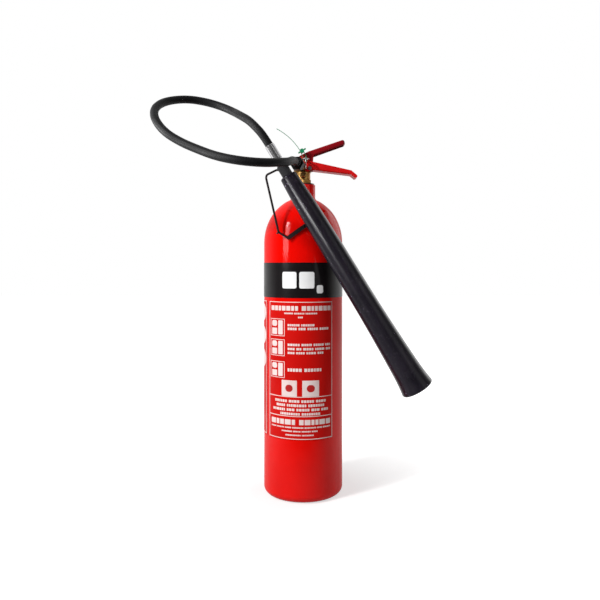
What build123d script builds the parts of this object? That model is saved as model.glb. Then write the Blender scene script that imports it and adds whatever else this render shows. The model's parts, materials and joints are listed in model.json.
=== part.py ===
# Carbon dioxide fire extinguisher: steel cylinder, brass squeeze-grip valve,
# swivelling hose and discharge horn.  Millimetres, +Z up, origin at the centre
# of the base, levers towards +X, front towards -Y.
import os
from math import acos, asin, atan2, cos, degrees, hypot, pi, radians, sin, tan

from build123d import *

os.makedirs("parts", exist_ok=True)

# ---------------------------------------------------------------- dimensions
# cylinder
cylinder_r = 76.0
cylinder_wall = 4.5
wall_top_z = 481.0
dome_height = 88.0
neck_r = 23.4
neck_length = 24.0
neck_blend_r = 7.0
base_corner_r = 12.0
base_foot_width = 6.0
base_dish = 13.0
base_floor = 6.0

# labels, films on a coat of paint and glue
coat = 0.2
film = 0.25
band_drop = 39.0
band_height = 65.0
label_drop = 7.0
label_height = 253.0
label_sweep = 100.5
label_turn = 5.4
label_gap_deg = 7.0

# valve body, upwards from the top of the neck
neck_thread_r = 12.8
neck_thread_length = 25.0
flange_flats = 30.0
flange_height = 7.0
barrel_r = 14.0
barrel_height = 15.0
block_half_width = 8.5
block_left = 18.5
block_right = 16.0
block_rise = 43.5
fit_gap = 0.05
slack = 0.3

# inside the valve
dip_tube_r = 5.0
dip_tube_wall = 1.0
dip_tube_depth = 13.0
dip_tube_clearance = 12.0
inlet_r = 4.0
chamber_r = 7.5
chamber_drop = 6.0
seat_rise = 23.0
seat_r = 3.8
seat_height = 3.0
outlet_chamber_r = 5.0
gland_r = 6.0
gland_height = 5.5
stem_r = 2.5
poppet_r = 6.2
poppet_height = 7.5
seat_washer_height = 1.9
spring_r = 5.6
spring_wire_r = 0.6
spring_turns = 5
ring_section_r = 1.0

# bursting disc
burst_rise = 18.5
burst_boss_r = 6.5
burst_face_y = 17.5
burst_port_r = 2.0
burst_socket_r = 4.5
burst_socket_depth = 5.0
burst_disc_thickness = 0.4
burst_washer_thickness = 0.8
burst_head_flats = 10.5
burst_head_height = 5.0
burst_vent_r = 1.1

# outlet and swivel
outlet_rise = 34.0
outlet_turn = 12.0
outlet_r = 7.5
outlet_bore_r = 3.5
outlet_reach = 50.0
nut_flats = 23.0
nut_length = 18.0
nut_overlap = 8.0
nut_wall = 4.0
tail_flange_thickness = 3.0
tail_neck_r = 5.5
tail_collar_r = 8.4
tail_collar_length = 3.0
sleeve_r = 8.8
sleeve_length = 8.0
sleeve_groove = 0.5

# levers
pivot_x = -13.0
pivot_lift = 2.5
pivot_r = 2.5
rivet_head_r = 4.0
rivet_head_height = 1.5
sheet = 2.5
lever_sheet = 2.0
lever_fold_r = 4.0
handle_fold_r = 3.0
lever_side_gap = 0.5
handle_side_gap = 0.4
lever_press_gap = 0.3
lever_reach = 92.2
lever_rise = 42.6
lever_tip_depth = 10.5
handle_reach = 106.0
handle_fall = 18.4
handle_depth = 8.2
handle_tip = 13.5
grip_screw_x = 12.5
grip_screw_drop = 12.0
grip_screw_r = 2.0
screw_head_r = 3.8
screw_head_height = 2.4
pin_x = 5.0
pin_lift = 1.2
pin_r = 1.9
lever_travel = 11.5
eye_r = 5.5
eye_wire_r = 1.1
pull_ring_r = 11.0
pull_wire_r = 1.0

# horn, grip and ferrule, along the horn's own axis
horn_side = 27.6
horn_stand_off = 20.0
horn_lift = 4.8
horn_direction = Vector(0.52225, 0.03556, -0.85205).normalized()
horn_length = 451.0
horn_top_r = 15.4
horn_mid_r = 21.2
horn_mid_share = 0.5632
horn_low_r = 25.8
horn_low_share = 0.8847
horn_mouth_r = 30.6
horn_wall = 2.6
horn_top_wall = 4.0
grip_r = 10.0
grip_length = 22.0
ferrule_r = 8.7
ferrule_length = 41.0
nozzle_r = 6.0
nozzle_in_grip = 12.0
nozzle_in_horn = 16.0
nozzle_bore_r = 2.0

# hose
hose_r = 7.5
hose_first_run = 19.5
hose_last_run = 21.0

# horn bracket
wire_r = 2.0
ring_outer_r = 21.5
ring_height = 2.5
bar_height = 7.4
bar_thickness = 2.0
rest_at = 104.0
stub_length = 6.0


# ------------------------------------------------------------------- helpers
def profile_plane(origin, direction):
    """Plane whose local Y runs along direction, for profiles that are revolved about it."""
    along = Vector(*direction).normalized()
    side = along.cross(Vector(0, 0, 1))
    if side.length < 0.01:
        side = Vector(1, 0, 0)
    side = side.normalized()
    return Plane(origin=origin, x_dir=side, z_dir=side.cross(along))


def ring_profile(inner_r, outer_r, low, high):
    """Rectangle from inner_r to outer_r and from low to high, beside a revolve axis."""
    with Locations(((inner_r + outer_r) / 2, (low + high) / 2)):
        Rectangle(outer_r - inner_r, high - low)


# where the main points lie
neck_top_z = wall_top_z + dome_height + neck_length
block_top_z = neck_top_z + block_rise
outlet_z = neck_top_z + outlet_rise
pivot_z = block_top_z + pivot_lift
pin_z = pivot_z + pin_lift
horn_top = Vector(-horn_side, -cylinder_r - horn_stand_off, neck_top_z + horn_lift)

upright = profile_plane((0, 0, 0), (0, 0, 1))
outlet_angle = radians(outlet_turn)
outlet_direction = Vector(-sin(outlet_angle), -cos(outlet_angle), 0)
outlet_origin = Vector(0, 0, outlet_z)
outlet_plane = profile_plane(outlet_origin, outlet_direction)
outlet_axis = Axis(outlet_origin, outlet_direction)
horn_plane = profile_plane(horn_top, horn_direction)
horn_axis = Axis(horn_top, horn_direction)

# ------------------------------------------------------------ cylinder shell
inner_r = cylinder_r - cylinder_wall
inner_dome = dome_height - cylinder_wall
neck_angle = degrees(acos(neck_r / cylinder_r))
bore_angle = degrees(acos(neck_thread_r / inner_r))
neck_start_z = wall_top_z + dome_height * sin(radians(neck_angle))
bore_start_z = wall_top_z + inner_dome * sin(radians(bore_angle))
base_foot_r = cylinder_r - base_corner_r - base_foot_width
dish_r = (base_foot_r**2 + base_dish**2) / (2 * base_dish)
dish_angle = degrees(asin(base_foot_r / dish_r))
seal_recess_r = neck_thread_r + 2 * ring_section_r + 0.4
seal_recess_depth = 2 * ring_section_r + 0.2


def cup_profile(outer_r, top_r, dome, dome_angle, floor_z, dome_end_z, top_z):
    """Half outline of a domed vessel: dished floor, rounded corner, wall, dome and neck."""
    foot_r = outer_r - base_corner_r
    CenterArc((0, floor_z + base_dish - dish_r), dish_r, 90 - dish_angle, dish_angle)
    Line((base_foot_r, floor_z), (foot_r, floor_z))
    CenterArc((foot_r, floor_z + base_corner_r), base_corner_r, -90, 90)
    Line((outer_r, floor_z + base_corner_r), (outer_r, wall_top_z))
    dome_steps = [radians(dome_angle) * step / 6 for step in range(7)]
    Spline(
        *[(outer_r * cos(turn), wall_top_z + dome * sin(turn)) for turn in dome_steps],
        tangents=((0, 1), (-outer_r * sin(dome_steps[-1]), dome * cos(dome_steps[-1]))),
    )
    Line((top_r, dome_end_z), (top_r, top_z))
    Line((top_r, top_z), (0, top_z))
    Line((0, top_z), (0, floor_z + base_dish))


with BuildPart() as cylinder_shell:
    with BuildSketch(upright) as outside:
        with BuildLine():
            cup_profile(cylinder_r, neck_r, dome_height, neck_angle, 0, neck_start_z, neck_top_z)
        make_face()
        root_corner = outside.vertices().sort_by_distance((neck_r, neck_start_z, 0))[0]
        fillet(root_corner, neck_blend_r)
    revolve(axis=Axis.Z)
    with BuildSketch(upright):
        with BuildLine():
            cup_profile(inner_r, neck_thread_r, inner_dome, bore_angle, base_floor, bore_start_z, neck_top_z)
        make_face()
    revolve(axis=Axis.Z, mode=Mode.SUBTRACT)
    with BuildSketch(Plane.XY.offset(neck_top_z)):
        Circle(seal_recess_r)
    extrude(amount=-seal_recess_depth, mode=Mode.SUBTRACT)
cylinder_shell.part.label = "cylinder_shell"
export_step(cylinder_shell.part, "parts/cylinder_shell.step")

# --------------------------------------------------------------- label films
film_r = cylinder_r + coat
band_high_z = wall_top_z - band_drop
band_low_z = band_high_z - band_height
label_high_z = band_low_z - label_drop
label_low_z = label_high_z - label_height

with BuildPart() as black_band:
    with BuildSketch(upright):
        ring_profile(film_r, film_r + film, band_low_z, band_high_z)
    revolve(axis=Axis.Z)
black_band.part.label = "black_band"
export_step(black_band.part, "parts/black_band.step")


def start_plane(angle):
    """Upright plane through the cylinder axis, its local X at this angle from +X."""
    turned = radians(angle)
    return Plane(origin=(0, 0, 0), x_dir=(cos(turned), sin(turned), 0), z_dir=(sin(turned), -cos(turned), 0))


front_start = -90 - label_turn - label_sweep / 2
with BuildPart() as front_label:
    with BuildSketch(start_plane(front_start)):
        ring_profile(film_r, film_r + film, label_low_z, label_high_z)
    revolve(axis=Axis.Z, revolution_arc=label_sweep)
front_label.part.label = "front_label"
export_step(front_label.part, "parts/front_label.step")

with BuildPart() as side_label:
    with BuildSketch(start_plane(front_start - label_gap_deg - label_sweep)):
        ring_profile(film_r, film_r + film, label_low_z, label_high_z)
    revolve(axis=Axis.Z, revolution_arc=label_sweep)
side_label.part.label = "side_label"
export_step(side_label.part, "parts/side_label.step")

# ---------------------------------------------------------------- neck joint
ring_top_z = neck_top_z + ring_height
flange_top_z = ring_top_z + flange_height
barrel_top_z = flange_top_z + barrel_height

with BuildPart() as neck_seal:
    with BuildSketch(upright):
        with Locations((neck_thread_r + ring_section_r + 0.2, neck_top_z - ring_section_r - 0.1)):
            Circle(ring_section_r)
    revolve(axis=Axis.Z)
neck_seal.part.label = "neck_seal"
export_step(neck_seal.part, "parts/neck_seal.step")

# ---------------------------------------------------------------- valve body
lever_inner = block_half_width + lever_side_gap
lever_outer = lever_inner + lever_sheet
handle_inner = lever_outer + handle_side_gap
handle_outer = handle_inner + sheet
gland_low_z = block_top_z - gland_height
chamber_low_z = neck_top_z - chamber_drop
seat_z = neck_top_z + seat_rise
burst_z = neck_top_z + burst_rise
grip_screw_z = block_top_z - grip_screw_drop
pivot_ear_r = 5.5
pad_r = 4.0

with BuildPart() as valve_body:
    # threaded stub, hexagon and barrel
    with BuildSketch(upright):
        ring_profile(0, neck_thread_r, neck_top_z - neck_thread_length, ring_top_z)
        ring_profile(0, barrel_r, flange_top_z, barrel_top_z)
    revolve(axis=Axis.Z)
    with BuildSketch(Plane.XY.offset(ring_top_z)):
        RegularPolygon(flange_flats / 2, 6, major_radius=False, rotation=30)
    extrude(amount=flange_height)
    flange_rim = valve_body.edges().filter_by(GeomType.LINE).filter_by_position(
        Axis.Z, flange_top_z - 0.1, flange_top_z + 0.1)
    chamfer(flange_rim, (flange_flats / 2 - barrel_r) * 0.6)
    # head block with the ear that carries the lever pivot
    with BuildSketch(Plane.XZ):
        with BuildLine():
            Polyline(
                (-block_left + 5, barrel_top_z - 2),
                (block_right - 4, barrel_top_z - 2),
                (block_right, barrel_top_z + 2),
                (block_right, block_top_z - 3),
                (block_right - 3, block_top_z),
                (pivot_x, block_top_z),
                (-block_left, block_top_z),
                (-block_left, barrel_top_z + 4),
                (-block_left + 5, barrel_top_z - 2),
            )
        make_face()
        with Locations((pivot_x, pivot_z)):
            Circle(pivot_ear_r)
    extrude(amount=block_half_width, both=True)
    # pads for the two carrying-handle screws
    with BuildSketch(Plane.XZ):
        with Locations((grip_screw_x, grip_screw_z)):
            Circle(pad_r)
    extrude(amount=handle_inner, both=True)
    # outlet boss and bursting-disc boss
    with BuildSketch(outlet_plane):
        ring_profile(0, outlet_r, 0, outlet_reach)
    revolve(axis=outlet_axis)
    with BuildSketch(Plane.XZ):
        with Locations((0, burst_z)):
            Circle(burst_boss_r)
    extrude(amount=burst_face_y)
    # bores along the valve axis, bottom to top
    with BuildSketch(upright):
        ring_profile(0, dip_tube_r + fit_gap, 0, neck_top_z - neck_thread_length + dip_tube_depth)
        ring_profile(0, inlet_r, 0, chamber_low_z)
        ring_profile(0, chamber_r, chamber_low_z, seat_z)
        ring_profile(0, seat_r, seat_z, seat_z + seat_height)
        ring_profile(0, outlet_chamber_r, seat_z + seat_height, gland_low_z)
        ring_profile(0, gland_r, gland_low_z, pivot_z + 2 * pivot_ear_r)
    revolve(axis=Axis.Z, mode=Mode.SUBTRACT)
    # outlet bore, bursting port and socket
    with BuildSketch(outlet_plane):
        ring_profile(0, outlet_bore_r, 0, outlet_reach)
    revolve(axis=outlet_axis, mode=Mode.SUBTRACT)
    with BuildSketch(Plane.XZ):
        with Locations((0, burst_z)):
            Circle(burst_port_r)
    extrude(amount=burst_face_y, mode=Mode.SUBTRACT)
    with BuildSketch(Plane.XZ.offset(burst_face_y)):
        with Locations((0, burst_z)):
            Circle(burst_socket_r)
    extrude(amount=-burst_socket_depth, mode=Mode.SUBTRACT)
    # pivot hole and screw holes
    with BuildSketch(Plane.XZ):
        with Locations((pivot_x, pivot_z)):
            Circle(pivot_r + fit_gap)
    extrude(amount=handle_outer, both=True, mode=Mode.SUBTRACT)
    for side in (1, -1):
        with BuildSketch(Plane.XZ.offset(side * handle_inner)):
            with Locations((grip_screw_x, grip_screw_z)):
                Circle(grip_screw_r + fit_gap)
        extrude(amount=-side * (handle_inner - 2), mode=Mode.SUBTRACT)
valve_body.part.label = "valve_body"
export_step(valve_body.part, "parts/valve_body.step")

# ------------------------------------------------------------------ dip tube
dip_top_z = neck_top_z - neck_thread_length + dip_tube_depth
dip_low_z = base_dish + base_floor + dip_tube_clearance
with BuildPart() as dip_tube:
    with BuildSketch(upright):
        ring_profile(dip_tube_r - dip_tube_wall, dip_tube_r, dip_low_z, dip_top_z)
    revolve(axis=Axis.Z)
    # slanted inlet, so that the tube can't seal itself on the cylinder's floor
    with BuildSketch(Plane.XZ):
        with BuildLine():
            Polyline(
                (-dip_tube_r - 1, dip_low_z - 1),
                (dip_tube_r + 1, dip_low_z - 1),
                (dip_tube_r + 1, dip_low_z + 2 * dip_tube_r),
                (-dip_tube_r - 1, dip_low_z - 1),
            )
        make_face()
    extrude(amount=dip_tube_r + 1, both=True, mode=Mode.SUBTRACT)
dip_tube.part.label = "dip_tube"
export_step(dip_tube.part, "parts/dip_tube.step")

# ------------------------------------------------- stem, seat washer, spring
web_start = (pivot_x + 7.0, pivot_z + 8.1)
web_end = (pivot_x + 25.8, pivot_z + 17.8)
web_slope = atan2(web_end[1] - web_start[1], web_end[0] - web_start[0])
web_over_stem_z = web_start[1] - web_start[0] * tan(web_slope)
stem_top_z = web_over_stem_z - (stem_r + lever_press_gap) / cos(web_slope) + stem_r
poppet_top_z = seat_z - 0.1 - seat_washer_height
poppet_low_z = poppet_top_z - poppet_height

with BuildPart() as valve_stem:
    with BuildSketch(upright):
        with BuildLine():
            Polyline(
                (0, poppet_low_z),
                (poppet_r - 1.5, poppet_low_z),
                (poppet_r, poppet_low_z + 1.5),
                (poppet_r, poppet_top_z),
                (stem_r, poppet_top_z),
                (stem_r, stem_top_z - stem_r),
            )
            RadiusArc((stem_r, stem_top_z - stem_r), (0, stem_top_z), -stem_r)
            Line((0, stem_top_z), (0, poppet_low_z))
        make_face()
    revolve(axis=Axis.Z)
valve_stem.part.label = "valve_stem"
export_step(valve_stem.part, "parts/valve_stem.step")

with BuildPart() as seat_washer:
    with BuildSketch(upright):
        ring_profile(stem_r, poppet_r - 0.4, poppet_top_z, poppet_top_z + seat_washer_height)
    revolve(axis=Axis.Z)
seat_washer.part.label = "seat_washer"
export_step(seat_washer.part, "parts/seat_washer.step")

spring_low_z = chamber_low_z + spring_wire_r + 0.1
spring_high_z = poppet_low_z - spring_wire_r - 0.1
with BuildPart() as valve_spring:
    with BuildLine() as coil:
        Helix((spring_high_z - spring_low_z) / spring_turns, spring_high_z - spring_low_z, spring_r,
              center=(0, 0, spring_low_z))
    with BuildSketch(Plane(origin=coil.line @ 0, z_dir=coil.line % 0)):
        Circle(spring_wire_r)
    sweep()
valve_spring.part.label = "valve_spring"
export_step(valve_spring.part, "parts/valve_spring.step")

stem_ring_r = stem_r + ring_section_r + 0.1
gland_recess_r = stem_ring_r + ring_section_r + 0.1
gland_recess_height = 2 * ring_section_r + 0.3
with BuildPart() as stem_o_ring:
    with BuildSketch(upright):
        with Locations((stem_ring_r, gland_low_z + ring_section_r + 0.1)):
            Circle(ring_section_r)
    revolve(axis=Axis.Z)
stem_o_ring.part.label = "stem_o_ring"
export_step(stem_o_ring.part, "parts/stem_o_ring.step")

with BuildPart() as gland_nut:
    with BuildSketch(upright):
        ring_profile(stem_r + fit_gap, gland_r, gland_low_z, block_top_z)
    revolve(axis=Axis.Z)
    with BuildSketch(Plane.XY.offset(gland_low_z)):
        Circle(gland_recess_r)
    extrude(amount=gland_recess_height, mode=Mode.SUBTRACT)
    # screwdriver slot across the top
    with BuildSketch(Plane.XY.offset(block_top_z)):
        Rectangle(2 * gland_r, 1.6)
    extrude(amount=-1.5, mode=Mode.SUBTRACT)
gland_nut.part.label = "gland_nut"
export_step(gland_nut.part, "parts/gland_nut.step")

# ------------------------------------------------------------ bursting disc
burst_plane = Plane.XZ.offset(burst_face_y)
disc_y = burst_face_y - burst_socket_depth
washer_y = disc_y + burst_disc_thickness
plug_y = washer_y + burst_washer_thickness

with BuildPart() as burst_disc:
    with BuildSketch(Plane.XZ.offset(disc_y)):
        with Locations((0, burst_z)):
            Circle(burst_socket_r - 0.1)
    extrude(amount=burst_disc_thickness)
burst_disc.part.label = "burst_disc"
export_step(burst_disc.part, "parts/burst_disc.step")

with BuildPart() as burst_washer:
    with BuildSketch(Plane.XZ.offset(washer_y)):
        with Locations((0, burst_z)):
            Circle(burst_socket_r - 0.1)
            Circle(burst_port_r, mode=Mode.SUBTRACT)
    extrude(amount=burst_washer_thickness)
burst_washer.part.label = "burst_washer"
export_step(burst_washer.part, "parts/burst_washer.step")

with BuildPart() as burst_plug:
    with BuildSketch(Plane.XZ.offset(plug_y)):
        with Locations((0, burst_z)):
            Circle(burst_socket_r)
    extrude(amount=burst_face_y - plug_y)
    with BuildSketch(burst_plane):
        with Locations((0, burst_z)):
            RegularPolygon(burst_head_flats / 2, 6, major_radius=False)
    extrude(amount=burst_head_height)
    chamfer(burst_plug.faces().sort_by(Axis.Y)[0].edges(), 0.8)
    with BuildSketch(Plane.XZ.offset(plug_y)):
        with Locations((0, burst_z)):
            Circle(burst_vent_r + 0.4)
    extrude(amount=burst_face_y - plug_y + burst_head_height * 0.7, mode=Mode.SUBTRACT)
    # cross holes let the gas out sideways
    with BuildSketch(Plane.YZ):
        with Locations((-burst_face_y - burst_head_height * 0.45, burst_z)):
            Circle(burst_vent_r)
    extrude(amount=burst_head_flats, both=True, mode=Mode.SUBTRACT)
burst_plug.part.label = "burst_plug"
export_step(burst_plug.part, "parts/burst_plug.step")

# ----------------------------------------------------------- carrying handle
boss_clear_r = outlet_r + 0.8
boss_cheek_x = -tan(outlet_angle) * (handle_inner + handle_outer) / 2
handle_ear_r = 6.5
past = 20.0  # outlines that cut run this far outside the sheet
handle_root_top = (grip_screw_x + 2.5, pivot_z - 1.0)
handle_root_low = (grip_screw_x + 4.5, grip_screw_z - 3.1)
handle_end_top = (pivot_x + handle_reach, pivot_z - handle_fall)
handle_end_low = (handle_end_top[0] - 1.0, handle_end_top[1] - handle_depth)
tip_top = (handle_end_top[0] + handle_tip, handle_end_top[1] - 0.85 * handle_tip)
tip_low = (handle_end_low[0] + 0.63 * handle_tip, handle_end_low[1] - 0.5 * handle_tip)
trough_start_x = handle_root_low[0] + 2.0
trough_end_x = tip_top[0] - 1.0

with BuildPart() as carrying_handle:
    with BuildSketch(Plane.XZ) as handle_side:
        with BuildLine():
            Polyline(
                (pivot_x, pivot_z + handle_ear_r),
                (pivot_x + 13.5, pivot_z + 7.6),
                (grip_screw_x - 0.5, pivot_z - 0.4),
                handle_root_top,
                handle_end_top,
                tip_top,
                tip_low,
                handle_end_low,
                handle_root_low,
                (grip_screw_x - 4.5, grip_screw_z - 6.7),
                (grip_screw_x - 8.5, grip_screw_z - 5.0),
                (pivot_x + 5.0, pivot_z - 4.5),
                (pivot_x, pivot_z - handle_ear_r),
                (pivot_x, pivot_z + handle_ear_r),
            )
        make_face()
        along_grip = handle_side.vertices().sort_by(Axis.X)
        fillet(along_grip[-2:], handle_depth * 0.3)
        fillet(along_grip[-4:-2], handle_tip)
        with Locations((pivot_x, pivot_z)):
            Circle(handle_ear_r)
        with Locations((boss_cheek_x, outlet_z)):
            Circle(boss_clear_r, mode=Mode.SUBTRACT)
    extrude(amount=handle_outer, both=True)
    under_faces = carrying_handle.faces().filter_by(lambda face: face.normal_at().Z < -0.9)
    grip_under = under_faces.sort_by(SortBy.AREA)[-1]
    fillet(grip_under.edges().filter_by(Axis.Y, reverse=True), handle_fold_r)
    # trough: the sheet is folded up from the web, so the inside is cut away above it
    with BuildSketch(Plane.XZ):
        with BuildLine():
            Polyline(
                (pivot_x - past, pivot_z - 2 * past),
                (trough_start_x, pivot_z - 2 * past),
                (trough_start_x, handle_root_low[1] + sheet),
                (handle_end_low[0], handle_end_low[1] + sheet),
                (tip_low[0] + 1.0, tip_low[1] + 1.6 * sheet),
                (trough_end_x, pivot_z),
                (trough_end_x, pivot_z + past),
                (pivot_x - past, pivot_z + past),
                (pivot_x - past, pivot_z - 2 * past),
            )
        make_face()
    extrude(amount=handle_inner, both=True, mode=Mode.SUBTRACT)
    with BuildSketch(Plane.XZ):
        with Locations((pivot_x, pivot_z)):
            Circle(pivot_r + fit_gap)
        with Locations((grip_screw_x, grip_screw_z)):
            Circle(grip_screw_r + fit_gap)
        with Locations((pin_x, pin_z)):
            Circle(pin_r + fit_gap)
    extrude(amount=handle_outer, both=True, mode=Mode.SUBTRACT)
carrying_handle.part.label = "carrying_handle"
export_step(carrying_handle.part, "parts/carrying_handle.step")

with BuildPart() as handle_screws:
    for side in (1, -1):
        with BuildSketch(Plane.XZ.offset(side * handle_outer)):
            with Locations((grip_screw_x, grip_screw_z)):
                Circle(screw_head_r)
                Rectangle(2 * screw_head_r, 1.0, mode=Mode.SUBTRACT)
        extrude(amount=side * screw_head_height)
        with BuildSketch(Plane.XZ.offset(side * handle_outer)):
            with Locations((grip_screw_x, grip_screw_z)):
                Circle(screw_head_r)
        extrude(amount=side * screw_head_height * 0.5)
        with BuildSketch(Plane.XZ.offset(side * handle_outer)):
            with Locations((grip_screw_x, grip_screw_z)):
                Circle(grip_screw_r)
        extrude(amount=-side * (handle_outer - 3))
handle_screws.part.label = "handle_screws"
export_step(handle_screws.part, "parts/handle_screws.step")

with BuildPart() as lever_pivot_pin:
    with BuildSketch(Plane.XZ):
        with Locations((pivot_x, pivot_z)):
            Circle(pivot_r)
    extrude(amount=handle_outer, both=True)
    for side in (1, -1):
        with BuildSketch(Plane.XZ.offset(side * handle_outer)):
            with Locations((pivot_x, pivot_z)):
                Circle(rivet_head_r)
        extrude(amount=side * rivet_head_height, taper=25)
lever_pivot_pin.part.label = "lever_pivot_pin"
export_step(lever_pivot_pin.part, "parts/lever_pivot_pin.step")

# ----------------------------------------------------------- operating lever
lever_ear_r = 5.0
lever_top_root = (web_end[0] - 0.8, web_end[1] + lever_sheet)
lever_top_tip = (pivot_x + lever_reach, pivot_z + lever_rise)
lever_low_tip = (lever_top_tip[0] + 2.5, lever_top_tip[1] - lever_tip_depth)
lever_low_root = (pivot_x + 33.0, pivot_z + 10.0)

with BuildPart() as operating_lever:
    with BuildSketch(Plane.XZ) as lever_side:
        with BuildLine():
            Polyline(
                (pivot_x, pivot_z + lever_ear_r),
                (web_start[0], web_start[1] + lever_sheet + 0.3),
                lever_top_root,
                lever_top_tip,
                lever_low_tip,
                lever_low_root,
                (lever_low_root[0] - 1.0, pivot_z - 2.5),
                (pin_x + 3.0, pin_z - 4.0),
                (pin_x - 3.0, pin_z - 3.2),
                (pin_x - 6.0, pin_z - 0.2),
                (pivot_x + 4.0, pivot_z + 1.0),
                (pivot_x, pivot_z - lever_ear_r),
                (pivot_x, pivot_z + lever_ear_r),
            )
        make_face()
        with Locations((pivot_x, pivot_z)):
            Circle(lever_ear_r)
        tip_corners = lever_side.vertices().sort_by(Axis.X)[-2:]
        fillet(tip_corners, lever_tip_depth * 0.4)
    extrude(amount=lever_outer, both=True)
    upper_faces = operating_lever.faces().filter_by(lambda face: face.normal_at().Z > 0.9)
    lever_back = upper_faces.sort_by(SortBy.AREA)[-1]
    fillet(lever_back.edges().filter_by(Axis.Y, reverse=True), lever_fold_r)
    # the sheet is folded down from the web, so the inside is cut away below it
    with BuildSketch(Plane.XZ):
        with BuildLine():
            Polyline(
                (pivot_x - past, pivot_z - past),
                (lever_low_tip[0] + past, pivot_z - past),
                (lever_top_tip[0] - 1.0, lever_low_tip[1] - 6.0),
                (lever_top_tip[0] - 1.6, lever_top_tip[1] - lever_sheet - 1.2),
                web_end,
                web_start,
                (web_start[0], lever_top_tip[1]),
                (pivot_x - past, lever_top_tip[1]),
                (pivot_x - past, pivot_z - past),
            )
        make_face()
    extrude(amount=lever_inner, both=True, mode=Mode.SUBTRACT)
    # the safety-pin hole is run out along the pin's own path round the pivot
    pin_arm = hypot(pin_x - pivot_x, pin_z - pivot_z)
    pin_angle = degrees(atan2(pin_z - pivot_z, pin_x - pivot_x))
    pin_path = CenterArc((pivot_x, pivot_z), pin_arm, pin_angle, lever_travel)
    with BuildSketch(Plane.XZ):
        with Locations((pivot_x, pivot_z)):
            Circle(pivot_r + fit_gap)
        SlotArc(pin_path, 2 * (pin_r + slack))
    extrude(amount=lever_outer, both=True, mode=Mode.SUBTRACT)
operating_lever.part.label = "operating_lever"
export_step(operating_lever.part, "parts/operating_lever.step")

# ------------------------------------------- safety pin, pull ring and seal
pin_front_y = -handle_outer - 5.6
pin_back_y = handle_outer + 4.0
eye_y = pin_front_y - eye_r
bar_y = eye_y - eye_r

with BuildPart() as safety_pin:
    with BuildSketch(Plane.XZ.offset(-pin_back_y)):
        with Locations((pin_x, pin_z)):
            Circle(pin_r)
    extrude(amount=pin_back_y - pin_front_y)
    chamfer(safety_pin.faces().sort_by(Axis.Y)[-1].edges(), 0.7)
    with BuildSketch(Plane.YZ.offset(pin_x)):
        with Locations((bar_y, pin_z)):
            Circle(eye_wire_r)
    revolve(axis=Axis((pin_x, eye_y, 0), (0, 0, 1)))
safety_pin.part.label = "safety_pin"
export_step(safety_pin.part, "parts/safety_pin.step")

ring_hang = pull_ring_r - (eye_wire_r + pull_wire_r + slack)
pull_ring_z = pin_z - ring_hang
with BuildPart() as pull_ring:
    with BuildSketch(Plane.XY.offset(pull_ring_z)):
        with Locations((pin_x, bar_y - pull_ring_r)):
            Circle(pull_wire_r)
    revolve(axis=Axis((0, bar_y, pull_ring_z), (1, 0, 0)))
pull_ring.part.label = "pull_ring"
export_step(pull_ring.part, "parts/pull_ring.step")

# tamper seal: a moulded wing and body on a loop round the pin, with its strap's free tail
loop_back_y = -handle_outer - 2.3
loop_thickness = 1.2
loop_wire = 1.1
loop_r = pin_r + 0.7 + loop_wire
wing_back_y = loop_back_y - 2.6
seal_front_y = wing_back_y - 3.2
seal_x = pin_x - 7.2
seal_z = pin_z + 16.6
seal_lean = 32.0
wing_length = 17.0
wing_height = 2.6
strap_r = 0.6
tail_reach = 45.0
tail_rise = 41.5
tail_start = Vector(seal_x - 3.8, wing_back_y - 1.7, seal_z + 0.2)
tail_middle = tail_start + Vector(-0.44 * tail_reach, -1.0, 0.58 * tail_rise)
tail_end = tail_start + Vector(-tail_reach, -2.5, tail_rise)
loop_length = hypot(seal_x - pin_x, seal_z - pin_z)
loop_lean = degrees(atan2(seal_z - pin_z, seal_x - pin_x))

with BuildPart() as tamper_seal:
    with BuildSketch(Plane.XZ.offset(-loop_back_y)):
        with Locations(((seal_x + pin_x) / 2, (seal_z + pin_z) / 2)):
            SlotCenterToCenter(loop_length, 2 * loop_r, rotation=loop_lean)
            SlotCenterToCenter(loop_length, 2 * (loop_r - loop_wire), rotation=loop_lean, mode=Mode.SUBTRACT)
    extrude(amount=loop_thickness)
    with BuildSketch(Plane.XZ.offset(-loop_back_y)):
        with Locations((seal_x, seal_z)):
            RectangleRounded(6.4, 8.0, 1.4, rotation=seal_lean)
    extrude(amount=loop_back_y - seal_front_y)
    with BuildSketch(Plane.XZ.offset(-wing_back_y)):
        with Locations((seal_x, seal_z)):
            SlotOverall(wing_length, wing_height, rotation=seal_lean)
    extrude(amount=wing_back_y - seal_front_y)
    with BuildLine() as tail_line:
        ThreePointArc(tail_start, tail_middle, tail_end)
    with BuildSketch(Plane(origin=tail_line.line @ 0, z_dir=tail_line.line % 0)):
        Circle(strap_r)
    sweep(path=tail_line.line)
tamper_seal.part.label = "tamper_seal"
export_step(tamper_seal.part, "parts/tamper_seal.step")

# --------------------------------------------- horn bracket: ring, wire, bar
wire_z = neck_top_z + wire_r + 0.1
wire_corners = [
    Vector(-13.0, -10.5, wire_z),
    Vector(-25.0, -21.0, wire_z),
    Vector(-46.0, -50.0, neck_top_z + 24.0),
    Vector(-68.8, -cylinder_r, neck_top_z + 8.0),
    Vector(-45.0, -cylinder_r + 2.5, wall_top_z + 16.5),
    Vector(-28.0, -cylinder_r + 2.5, wall_top_z + 6.0),
]
wire_bends = [14.0, 16.0, 9.0, 7.0]

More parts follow.
